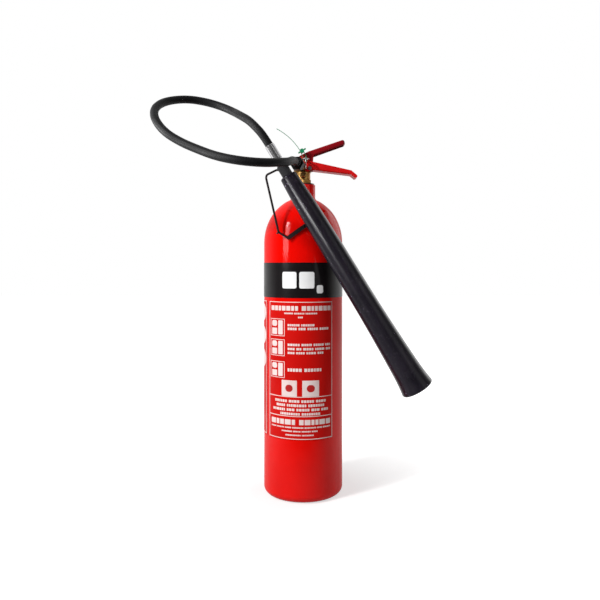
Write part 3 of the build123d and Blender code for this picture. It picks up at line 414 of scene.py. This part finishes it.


# the edge tones below are painted: shade where a metal turns from the view, sheen where the seal does
finishPlans = {
    "cylinderEnamel": dict(
        color=(0.80, 0.0025, 0.0005), drift=(0.74, 0.002, 0.0005), speck=(0.50, 0.012, 0.008),
        speckAmount=0.15, rough=0.30, roughSpread=0.10, specular=0.0, coat=0.34, coatRough=0.09,
        skinScale=420.0, depth=0.000012, marks=0.35, dust=0.003),
    "handleEnamel": dict(
        color=(0.72, 0.008, 0.008), drift=(0.58, 0.005, 0.006), rough=0.36, specular=0.10, coat=0.12,
        coatRough=0.12, skinScale=700.0, depth=0.00002, marks=0.45, dust=0.01),
    # the lever's red, darker than the handle's, is painted shade
    "leverEnamelPaintedShade": dict(
        color=(0.27, 0.003, 0.007), drift=(0.20, 0.002, 0.006), rough=0.34, specular=0.12, coat=0.2,
        coatRough=0.12, skinScale=700.0, depth=0.00002, marks=0.45, dust=0.01),
    "bandInk": dict(
        color=(0.006, 0.0045, 0.005), drift=(0.009, 0.007, 0.008), rough=0.34, roughSpread=0.12,
        specular=0.10, coat=0.30, coatRough=0.12, skinScale=300.0, depth=0.000006, marks=0.35, dust=0.005),
    "labelFilm": dict(
        color=(0.62, 0.004, 0.002), drift=(0.55, 0.003, 0.001), rough=0.42, roughSpread=0.10,
        specular=0.07, coat=0.08, coatRough=0.2, skinScale=260.0, depth=0.000008, marks=0.3, dust=0.005),
    "printInk": dict(
        color=(0.86, 0.74, 0.72), drift=(0.80, 0.62, 0.60), speck=(0.75, 0.20, 0.18), speckAmount=0.6,
        rough=0.45, specular=0.2, skinScale=900.0, depth=0.000004, marks=0.3, dust=0.03),
    "bandWhite": dict(
        color=(0.90, 0.90, 0.90), drift=(0.84, 0.84, 0.85), speck=(0.60, 0.58, 0.58), speckAmount=0.4,
        rough=0.4, specular=0.2, skinScale=900.0, depth=0.000004, marks=0.3, dust=0.02),
    "printRed": dict(
        color=(0.55, 0.02, 0.02), drift=(0.40, 0.012, 0.012), rough=0.45, specular=0.2, skinScale=900.0,
        depth=0.000004, dust=0.03),
    "forgedBrass": dict(
        color=(0.62, 0.38, 0.12), drift=(0.36, 0.19, 0.05), speck=(0.14, 0.07, 0.03), speckAmount=0.7,
        metallic=1.0, rough=0.26, roughSpread=0.25, skin="metal", skinScale=120.0, depth=0.00006,
        marks=0.5, dust=0.08, paintedEdgeTone=(0.16, 0.08, 0.03), paintedEdgeAmount=0.8),
    "turnedBrass": dict(
        color=(0.50, 0.28, 0.09), drift=(0.28, 0.14, 0.05), metallic=1.0, rough=0.26, roughSpread=0.22,
        skin="metal", skinScale=40.0, stretch=(1.0, 1.0, 30.0), depth=0.00003, marks=0.5, dust=0.08,
        paintedEdgeTone=(0.12, 0.06, 0.02), paintedEdgeAmount=0.8),
    "softCopper": dict(
        color=(0.62, 0.28, 0.16), drift=(0.42, 0.17, 0.10), metallic=1.0, rough=0.4, skin="metal",
        skinScale=90.0, depth=0.00003),
    "drawnAluminium": dict(
        color=(0.66, 0.67, 0.68), drift=(0.55, 0.56, 0.57), metallic=1.0, rough=0.38, skin="metal",
        skinScale=60.0, stretch=(12.0, 12.0, 0.4), depth=0.00003),
    "zincPlate": dict(
        color=(0.58, 0.58, 0.57), drift=(0.38, 0.38, 0.38), speck=(0.20, 0.18, 0.15), speckAmount=0.5,
        metallic=1.0, rough=0.22, roughSpread=0.22, skin="metal", skinScale=90.0, depth=0.00002,
        marks=0.5, paintedEdgeTone=(0.05, 0.05, 0.05), paintedEdgeAmount=0.85),
    "springSteel": dict(
        color=(0.42, 0.42, 0.43), drift=(0.30, 0.30, 0.31), metallic=1.0, rough=0.33, skin="metal",
        skinScale=90.0, depth=0.00002),
    "blackOxide": dict(
        color=(0.006, 0.006, 0.006), drift=(0.014, 0.012, 0.011), speck=(0.06, 0.05, 0.04),
        speckAmount=0.3, rough=0.36, specular=0.15, skin="metal", skinScale=110.0, depth=0.00004,
        marks=0.5),
    "crimpChrome": dict(
        color=(0.88, 0.87, 0.88), drift=(0.78, 0.77, 0.79), metallic=1.0, rough=0.24, roughSpread=0.08,
        skin="metal", skinScale=50.0, turn=(0.0, 0.55, 0.0), stretch=(1.0, 1.0, 16.0), depth=0.000003,
        marks=0.3, paintedEdgeTone=(0.14, 0.135, 0.14), paintedEdgeAmount=1.0),
    "wireCoat": dict(
        color=(0.010, 0.006, 0.007), drift=(0.018, 0.012, 0.013), speck=(0.10, 0.08, 0.07),
        speckAmount=0.4, rough=0.34, specular=0.2, skin="mould", skinScale=900.0, depth=0.00004, marks=0.5),
    "hoseRubber": dict(
        color=(0.004, 0.004, 0.0045), drift=(0.008, 0.008, 0.009), speck=(0.02, 0.02, 0.02),
        speckAmount=0.3, rough=0.50, roughSpread=0.08, specular=0.12, skin="mould", skinScale=800.0,
        depth=0.000012, marks=0.5, dust=0.01),
    "sealRubber": dict(
        color=(0.006, 0.006, 0.006), drift=(0.012, 0.012, 0.012), rough=0.5, specular=0.15, skin="mould",
        skinScale=900.0, depth=0.00003),
    "gripRubber": dict(
        color=(0.022, 0.022, 0.024), drift=(0.034, 0.034, 0.037), rough=0.5, specular=0.2, skin="mould",
        skinScale=600.0, depth=0.00008, marks=0.5),
    "hornPlastic": dict(
        color=(0.006, 0.005, 0.008), drift=(0.010, 0.008, 0.012), speck=(0.04, 0.04, 0.04),
        speckAmount=0.2, rough=0.24, roughSpread=0.04, specular=0.19, skin="mould", skinScale=520.0,
        depth=0.000003, marks=0.45, dust=0.005),
    "sealPlastic": dict(
        color=(0.012, 0.26, 0.11), drift=(0.008, 0.18, 0.07), rough=0.34, specular=0.3, skin="mould",
        skinScale=500.0, depth=0.00003, paintedEdgeTone=(0.45, 0.68, 0.55), paintedEdgeAmount=0.7),
}

finishes = {name: makeFinish(name, changes) for name, changes in finishPlans.items()}
print("finishes made:", len(finishes))

nodeFinishes = {
    "cylinder_shell": "cylinderEnamel", "black_band": "bandInk", "front_label": "labelFilm",
    "side_label": "labelFilm", "carrying_handle": "handleEnamel", "operating_lever": "leverEnamelPaintedShade",
    "valve_body": "forgedBrass", "gland_nut": "turnedBrass", "burst_plug": "turnedBrass",
    "valve_stem": "turnedBrass", "discharge_nozzle": "turnedBrass", "burst_washer": "softCopper",
    "dip_tube": "drawnAluminium", "handle_screws": "zincPlate", "lever_pivot_pin": "zincPlate",
    "safety_pin": "zincPlate", "pull_ring": "zincPlate", "hose_tail": "zincPlate",
    "valve_spring": "springSteel", "burst_disc": "springSteel", "swivel_nut": "blackOxide",
    "horn_ferrule": "crimpChrome", "holder_wire": "wireCoat", "horn_rest": "wireCoat",
    "hose": "hoseRubber", "hose_sleeve": "hoseRubber", "neck_seal": "sealRubber",
    "stem_o_ring": "sealRubber", "seat_washer": "sealRubber", "horn_grip": "gripRubber",
    "horn": "hornPlastic", "tamper_seal": "sealPlastic",
}


def dress(piece, finish):
    # one finish all over, in place of what the piece came with
    piece.data.materials.clear()
    piece.data.materials.append(finishes[finish])


for nodeName, finishName in nodeFinishes.items():
    dress(nodes[nodeName], finishName)
dress(hoseRun, "hoseRubber")
print("CAD nodes dressed")


# shared mesh parts
def gridFaces(rows, columns, offset=0, closed=False):
    # quads of a grid of points, counted row by row from the offset; closed joins its last column to its first
    i, j = np.meshgrid(np.arange(rows - 1), np.arange(columns if closed else columns - 1), indexing="ij")
    here, there = i * columns + j + offset, i * columns + (j + 1) % columns + offset
    return np.stack([here, there, there + columns, here + columns], -1).reshape(-1, 4)


def meshPiece(name, points, faces):
    # an object at the origin whose mesh has these points and faces
    mesh = bpy.data.meshes.new(name)
    mesh.from_pydata(points.reshape(-1, 3).tolist(), [], faces)
    mesh.update()
    piece = bpy.data.objects.new(name, mesh)
    bpy.context.scene.collection.objects.link(piece)
    return piece


# valve spring: a wound wire drawn at its rest height; the real one shortens as the stem goes down
springPlan = {
    "wire": 0.0006,     # half its thickness
    "turns": 5.0,
    "perTurn": 40,      # sections of the wire in each turn
    "around": 12,
    "flat": 0.16,       # share of the wire that lies flat, half of it at each end
    "keep": 0.829,      # share of its height left at the stem's full travel
}


def springLine(plan, low, high):
    # x = r cos t and y = r sin t; the height is flat at both ends and rises evenly in between
    radius = (high[0] - low[0]) / 2 - plan["wire"]
    share = np.linspace(0, 1, int(plan["turns"] * plan["perTurn"]) + 1)
    climb = np.clip((share - plan["flat"] / 2) / (1 - plan["flat"]), 0, 1)
    rise = low[2] + plan["wire"] + climb * (high[2] - low[2] - 2 * plan["wire"])
    turn = 2 * np.pi * plan["turns"] * share
    outward = np.c_[np.cos(turn), np.sin(turn), np.zeros_like(turn)]
    return np.c_[(low[:2] + high[:2]) / 2 + radius * outward[:, :2], rise], outward


def wireRings(line, outward, radius, around):
    # a circle at each point of the line, spanned by outward and by the direction square to it and to the line
    along = np.gradient(line, axis=0)
    along /= np.linalg.norm(along, axis=1)[:, None]
    upward = np.cross(along, outward)
    angle = np.linspace(0, 2 * np.pi, around, endpoint=False)[None, :, None]
    return line[:, None] + radius * (np.cos(angle) * outward[:, None] + np.sin(angle) * upward[:, None])


def turnFacesOut(mesh):
    # a closed surface's faces all point away from what it holds
    shell = bmesh.new()
    shell.from_mesh(mesh)
    bmesh.ops.recalc_face_normals(shell, faces=shell.faces)
    shell.to_mesh(mesh)
    shell.free()


def windSpring(plan):
    # the wire's rings joined by quads, with a flat face on each end
    low, high = (np.array(corner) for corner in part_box("valve_spring"))
    rings = wireRings(*springLine(plan, low, high), plan["wire"], plan["around"])
    rows, columns = rings.shape[:2]
    sides = gridFaces(rows, columns, closed=True).tolist()
    first = list(range(columns))
    last = list(range((rows - 1) * columns, rows * columns))
    spring = meshPiece("springWire", rings, sides + [first[::-1], last])
    turnFacesOut(spring.data)
    spring.data.polygons.foreach_set("use_smooth", [True] * len(sides) + [False, False])
    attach(spring, "cylinder")
    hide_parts("valve_spring")
    dress(spring, "springSteel")
    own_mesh(spring)


windSpring(springPlan)
print("valve spring wound")

# prints: thin ink patches that lie on the cylinder
inkPlan = {
    "radius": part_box("black_band")[1][0],     # outside of the films
    "lift": 0.00004,
    "thickness": 0.00008,
    "columns": 5,              # least across one patch
    "perDegree": 0.9,          # more for each degree that it covers
    "wordShares": (0.6, 1.5),  # range that the widths are drawn from before they are scaled to fit
    "wordGap": 0.8,            # of a row's height
    "barShares": (0.5, 1.1),
    "barGap": 0.2,             # of a row's height
    "barCorner": 0.4,          # millimetres
}


def mm(value):
    # millimetres to metres
    return value / 1000.0


def degreesPer(length):
    # turn round the cylinder that covers this many millimetres
    return math.degrees(mm(length) / inkPlan["radius"])


def inkPatch(left, right, low, high, corner=0.0, lift=inkPlan["lift"]):
    # rounded bar wrapped on the cylinder, from left to right in degrees and low to high in metres: across it
    # runs along a sine so its ends are finely cut, and its half height falls along a quarter circle inside
    # each rounded corner
    radius = inkPlan["radius"] + lift
    halfWide = math.radians(right - left) / 2 * radius
    halfTall = (high - low) / 2
    corner = min(corner, halfWide, halfTall)
    columns = inkPlan["columns"] + int((right - left) * inkPlan["perDegree"])
    across = np.sin(np.linspace(-1, 1, columns) * math.pi / 2) * halfWide
    inside = np.clip(np.abs(across) - (halfWide - corner), 0.0, corner)
    reach = halfTall - corner + np.sqrt(np.maximum(corner**2 - inside**2, 0.0))
    turn = math.radians((left + right) / 2) + across / radius
    rows = np.array([-1.0, 0.0, 1.0])[:, None]
    x = np.broadcast_to(radius * np.sin(turn), (len(rows), columns))
    y = np.broadcast_to(-radius * np.cos(turn), (len(rows), columns))
    z = (high + low) / 2 + rows * reach
    return np.stack([x, y, z], -1)


def inkPiece(name, patches, finish):
    # all patches in one mesh; its wall is raised by Solidify
    starts = np.cumsum([0] + [patch.shape[0] * patch.shape[1] for patch in patches])
    points = np.concatenate([patch.reshape(-1, 3) for patch in patches])
    faces = np.concatenate([gridFaces(*patch.shape[:2], start) for patch, start in zip(patches, starts)])
    piece = meshPiece(name, points, faces.tolist())
    wall = piece.modifiers.new("inkWall", "SOLIDIFY")
    wall.thickness = inkPlan["thickness"]
    wall.offset = 1.0
    dress(piece, finish)
    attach(piece, "cylinder")


def inkFrame(left, right, low, high, line):
    # four bars round a rectangle; low, high and the bars' width line are in millimetres
    wide = degreesPer(line)
    low, high, line = mm(low), mm(high), mm(line)
    return [
        inkPatch(left, right, low, low + line), inkPatch(left, right, high - line, high),
        inkPatch(left, left + wide, low + line, high - line),
        inkPatch(right - wide, right, low + line, high - line),
    ]


def inkRow(left, right, low, high, words, chance):
    # plain upright bars in groups as long as words: the widths are drawn by chance, then scaled so that the
    # words and the gaps fill the row, and so that the bars and their gaps fill each word
    tall = (high - low) * degreesPer(1.0)
    shares = chance.uniform(*inkPlan["wordShares"], words)
    gap = tall * inkPlan["wordGap"]
    widths = shares / shares.sum() * (right - left - gap * (words - 1))
    starts = left + np.concatenate([[0.0], np.cumsum(widths + gap)[:-1]])
    bars = []
    for start, wide in zip(starts, widths):
        parts = chance.uniform(*inkPlan["barShares"], max(1, round(wide / tall)))
        space = tall * inkPlan["barGap"]
        parts *= (wide - space * (len(parts) - 1)) / parts.sum()
        ends = start + np.cumsum(parts + space) - space
        bars += [
            inkPatch(end - part, end, mm(low), mm(high), mm(inkPlan["barCorner"]))
            for end, part in zip(ends, parts)]
    return bars


# places round the cylinder in degrees from the front, heights and line widths in millimetres
labelPlan = {
    "seed": 5,
    "frame": (-55.2, 44.6, 118.5, 370.0),
    "line": 1.3,
    "dividers": (196.0, 160.5),
    # rows of bars: left, right, low, high, how many words
    "rows": [
        (-50.5, 41.5, 353.8, 362.4, 2), (-27.1, 19.6, 347.3, 350.2, 3), (-7.0, -0.6, 340.2, 343.2, 1),
        (-21.9, 15.6, 325.4, 329.3, 2), (-21.9, 37.5, 318.4, 322.8, 4),
        (-21.9, 40.5, 289.2, 293.4, 4), (-21.9, 40.5, 281.6, 285.8, 5), (-21.9, 28.9, 274.4, 278.4, 4),
        (-21.9, 25.9, 242.4, 248.2, 2),
        (-42.4, 33.0, 185.8, 190.4, 4), (-40.0, 30.3, 178.0, 182.6, 3), (-46.3, 36.7, 170.2, 174.8, 5),
        (-33.3, 24.0, 162.6, 167.0, 2),
        (-50.0, 40.5, 145.0, 154.5, 2), (-50.0, 40.5, 138.6, 141.2, 7), (-31.2, 20.2, 131.8, 134.4, 4),
        (-25.2, 14.7, 124.8, 127.4, 2),
    ],
    "boxes": [(-52.0, -26.5, 306.5, 338.5), (-52.0, -26.5, 269.9, 300.5), (-52.0, -26.5, 229.8, 260.0)],
    "squares": [(-31.2, -8.7, 196.9, 226.2), (-1.3, 22.4, 196.9, 226.2)],
}

# shapes inside a box: a tall bar on its right, and a knob over a block on its left
boxPlan = {
    "line": 1.1,
    "margin": 3.0,         # millimetres above and below
    "side": 0.12,          # share of the width, from the frame to a shape
    "barWidth": 0.30,
    "blockWidth": 0.38,
    "blockTop": 0.46,      # share of the height
    "knobFoot": 0.56,
    "barCorner": 1.5,
    "knobCorner": 4.0,
    "blockCorner": 1.0,
}

squarePlan = {
    "corner": 0.8,
    "spotHalf": 0.24,      # of the square's width
    "spotMargin": 8.0,
    "spotCorner": 20.0,    # more than the spot has room for, so that its ends are full rounds
}


def inkBox(left, right, low, high, plan):
    # the frame, then the three shapes at shares of its width and height
    wide, tall, margin = right - left, high - low, plan["margin"]
    barEnd, start = right - wide * plan["side"], left + wide * plan["side"]
    barStart, end = barEnd - wide * plan["barWidth"], start + wide * plan["blockWidth"]
    foot, top = mm(low + margin), mm(high - margin)
    knobFoot, blockTop = mm(low + tall * plan["knobFoot"]), mm(low + tall * plan["blockTop"])
    return inkFrame(left, right, low, high, plan["line"]) + [
        inkPatch(barStart, barEnd, foot, top, mm(plan["barCorner"])),
        inkPatch(start, end, knobFoot, top, mm(plan["knobCorner"])),
        inkPatch(start, end, foot, blockTop, mm(plan["blockCorner"])),
    ]


def inkSpot(left, right, low, high, plan):
    # a rounded spot on the middle of a square, lifted over its ink
    middle, half = (left + right) / 2, (right - left) * plan["spotHalf"]
    foot, top = mm(low + plan["spotMargin"]), mm(high - plan["spotMargin"])
    over = inkPlan["lift"] + inkPlan["thickness"]
    return inkPatch(middle - half, middle + half, foot, top, mm(plan["spotCorner"]), over)


def printFrontLabel(plan):
    # frame and dividers, then rows, boxes and squares, all one ink; the spots on the squares are another
    chance = np.random.default_rng(plan["seed"])
    left, right, low, high = plan["frame"]
    line = plan["line"]
    patches = inkFrame(left, right, low, high, line)
    patches += [inkPatch(left, right, mm(at - line / 2), mm(at + line / 2)) for at in plan["dividers"]]
    for row in plan["rows"]:
        patches += inkRow(*row, chance)
    for box in plan["boxes"]:
        patches += inkBox(*box, boxPlan)
    for a, b, bottom, top in plan["squares"]:
        patches.append(inkPatch(a, b, mm(bottom), mm(top), mm(squarePlan["corner"])))
    inkPiece("frontLabelInk", patches, "printInk")
    inkPiece("frontLabelSpots", [inkSpot(*square, squarePlan) for square in plan["squares"]], "printRed")


printFrontLabel(labelPlan)

sideLabelPlan = {
    "seed": 9,
    "frame": (-162.0, -64.5, 118.5, 370.0),
    "line": 1.3,
    "discs": [(-79.0, 348.0), (-79.0, 304.0), (-79.0, 260.0)],    # middle, height
    "discRadius": 16.0,
    "rowMargins": (8.0, 34.0),    # degrees that the rows keep free at the left and the right
    "words": (3, 6),              # least in a row, and one more than the most
    "rows": [
        (342.0, 347.0), (298.0, 303.0), (254.0, 259.0), (216.0, 221.0), (204.0, 209.0), (180.0, 184.0),
        (170.0, 174.0), (160.0, 164.0), (140.0, 144.0),
    ],
}


def printSideLabel(plan):
    # frame, discs as patches whose corners are as large as they are, and rows whose number of words is drawn
    chance = np.random.default_rng(plan["seed"])
    left, right, low, high = plan["frame"]
    patches = inkFrame(left, right, low, high, plan["line"])
    radius = plan["discRadius"]
    half = degreesPer(radius)
    for middle, at in plan["discs"]:
        patches.append(inkPatch(middle - half, middle + half, mm(at - radius), mm(at + radius), mm(radius)))
    start, end = left + plan["rowMargins"][0], right - plan["rowMargins"][1]
    for bottom, top in plan["rows"]:
        patches += inkRow(start, end, bottom, top, int(chance.integers(*plan["words"])), chance)
    inkPiece("sideLabelInk", patches, "printInk")


printSideLabel(sideLabelPlan)

bandPlan = {
    "blocks": [(-30.0, -9.2, 394.5, 425.0), (-5.4, 15.6, 394.5, 425.0), (19.0, 28.6, 385.5, 400.5)],
    "corner": 3.5,
}


def printBand(plan):
    # three rounded blocks
    patches = [inkPatch(a, b, mm(low), mm(high), mm(plan["corner"])) for a, b, low, high in plan["blocks"]]
    inkPiece("bandBlocks", patches, "bandWhite")


printBand(bandPlan)
print("labels printed")

# studio: floor, world and lamps
studioPlan = {
    "floorHalf": 8.0,
    "floorDrop": 0.0003,          # below the object's foot
    "floorPoints": 9,
    "floorColor": (0.50, 0.50, 0.50),
    "floorGlow": 0.59,            # beside the object; farther out it rises to 1, the backdrop's own, which paints out the far part of the object's shadow
    "glowRange": (0.10, 0.42),    # metres from the cylinder's axis, where that rise starts and ends
    "worldLight": 0.20,
    # a mirror ray sees a dim room in front of the object and the pale backdrop behind it
    "roomLight": 0.03,            # glow of the dim floor
    "roomFloor": (0.05, 0.05, 0.05),
    "roomDrop": 0.8,              # share of the world's light that the room loses
    "floorTurn": (-0.45, 0.0),    # metres along Y, from the dim floor to the pale one
    "worldTurn": (-0.35, 0.35),   # the same for the world, along a direction's Y
}

lampPlans = {
    "keyBox": {
        "place": (-1.55, -1.26, 1.17), "aim": (0.0, 0.0, 0.60), "size": (0.60, 1.40), "watts": 22.5},
    "highBox": {
        "place": (-1.35, -1.00, 1.70), "aim": (0.0, 0.0, 0.45), "size": (0.25, 0.25), "watts": 31.0},
    "lowBox": {
        "place": (-0.81, -1.15, 0.20), "aim": (0.0, 0.0, 0.50), "size": (0.70, 0.17), "watts": 18.0,
        "only": "horn"},
    "sideBox": {
        "place": (-1.85, -0.20, 0.66), "aim": (-0.25, -0.10, 0.70), "size": (1.00, 0.80), "watts": 75.0,
        "only": "hoseRun"},
    "fillBox": {
        "place": (1.90, -1.70, 1.10), "aim": (0.0, 0.0, 0.35), "size": (1.50, 1.60), "watts": 7.0},
    "backBox": {
        "place": (1.70, 1.30, 1.20), "aim": (0.0, 0.0, 0.40), "size": (1.40, 1.40), "watts": 12.0},
}


def seenDirectly(tree, backdrop):
    # camera and glass rays count 1; mirror rays count the backdrop's share; rays that carry light count 0
    path = addNode(tree, "ShaderNodeLightPath").outputs
    mirrored = combine(tree, "MULTIPLY", path["Is Glossy Ray"], backdrop)
    either = combine(tree, "MAXIMUM", path["Is Camera Ray"], mirrored)
    return combine(tree, "MAXIMUM", either, path["Is Transmission Ray"])


def mirroredRoom(tree, backdrop):
    # a mirror ray's share of the dim half of the room; 0 for any other ray
    path = addNode(tree, "ShaderNodeLightPath").outputs
    return combine(tree, "MULTIPLY", path["Is Glossy Ray"], combine(tree, "SUBTRACT", 1.0, backdrop))


def behindObject(tree, coordinates, turn, least):
    # share of the pale backdrop: rises along Y from the dim front of the room
    parts = addNode(tree, "ShaderNodeSeparateXYZ")
    tree.links.new(coordinates, parts.inputs[0])
    return remap(tree, parts.outputs["Y"], *turn, least, 1.0)


def makePaper(plan):
    # matte paper plus a glow; the glow is the backdrop as seen, its rise away from the object paints out the
    # far part of the shadow, and a mirror ray meets a dimmer paper
    material = bpy.data.materials.new("palePaper")
    material.use_nodes = True
    tree = material.node_tree
    tree.nodes.remove(tree.nodes["Principled BSDF"])
    place = addNode(tree, "ShaderNodeTexCoord").outputs["Object"]
    backdrop = behindObject(tree, place, plan["floorTurn"], plan["roomLight"])

    away = addNode(tree, "ShaderNodeVectorMath", operation="LENGTH")
    tree.links.new(place, away.inputs[0])
    level = remap(tree, away.outputs["Value"], *plan["glowRange"], plan["floorGlow"], 1.0)
    glow = addNode(tree, "ShaderNodeEmission")
    tree.links.new(combine(tree, "MULTIPLY", seenDirectly(tree, backdrop), level), glow.inputs["Strength"])

    matte = addNode(tree, "ShaderNodeBsdfDiffuse", {"Color": (*plan["floorColor"], 1.0)})
    dim = addNode(tree, "ShaderNodeBsdfDiffuse", {"Color": (*plan["roomFloor"], 1.0)})
    paper = addNode(tree, "ShaderNodeMixShader")
    for source, socket in zip((mirroredRoom(tree, backdrop), matte.outputs[0], dim.outputs[0]), paper.inputs):
        tree.links.new(source, socket)
    both = addNode(tree, "ShaderNodeAddShader")
    tree.links.new(paper.outputs[0], both.inputs[0])
    tree.links.new(glow.outputs[0], both.inputs[1])
    tree.links.new(both.outputs[0], tree.nodes["Material Output"].inputs["Surface"])
    return material


def layFloor(plan):
    # a flat square grid under the object
    count = plan["floorPoints"]
    sides = np.linspace(-plan["floorHalf"], plan["floorHalf"], count)
    x, y = np.meshgrid(sides, sides)
    points = np.stack([x, y, np.full_like(x, -plan["floorDrop"])], -1)
    floor = meshPiece("studioFloor", points, gridFaces(count, count).tolist())
    floor.data.materials.append(makePaper(plan))


def lightWorld(plan):
    # strength 1 where it is seen and the world's light elsewhere, less the room's drop for mirror rays
    world = bpy.data.worlds.new("paleRoom")
    bpy.context.scene.world = world
    world.use_nodes = True
    tree = world.node_tree
    background = tree.nodes["Background"]
    background.inputs["Color"].default_value = (1.0, 1.0, 1.0, 1.0)
    direction = addNode(tree, "ShaderNodeTexCoord").outputs["Generated"]
    backdrop = behindObject(tree, direction, plan["worldTurn"], 0.0)
    strength = remap(tree, seenDirectly(tree, backdrop), 0.0, 1.0, plan["worldLight"], 1.0)
    lost = combine(tree, "MULTIPLY", mirroredRoom(tree, backdrop), plan["roomDrop"])
    kept = combine(tree, "SUBTRACT", 1.0, lost)
    tree.links.new(combine(tree, "MULTIPLY", strength, kept), background.inputs["Strength"])


def hangLamp(name, plan):
    # a flat lamp turned to face its aim; with only, it lights that piece alone
    data = bpy.data.lights.new(name, "AREA")
    data.shape = "RECTANGLE"
    data.size, data.size_y = plan["size"]
    data.energy = plan["watts"]
    lamp = bpy.data.objects.new(name, data)
    lamp.location = plan["place"]
    aim = Vector(plan["aim"]) - Vector(plan["place"])
    lamp.rotation_euler = aim.to_track_quat("-Z", "Y").to_euler()
    lamp.visible_camera = False
    if "only" in plan:
        lit = bpy.data.collections.new(name + "Lit")
        lit.objects.link(bpy.data.objects[plan["only"]])
        lamp.light_linking.receiver_collection = lit
    bpy.context.scene.collection.objects.link(lamp)


layFloor(studioPlan)
lightWorld(studioPlan)
for lampName, lampPlan in lampPlans.items():
    hangLamp(lampName, lampPlan)
bpy.context.scene.view_settings.view_transform = "Standard"
print("studio lit")
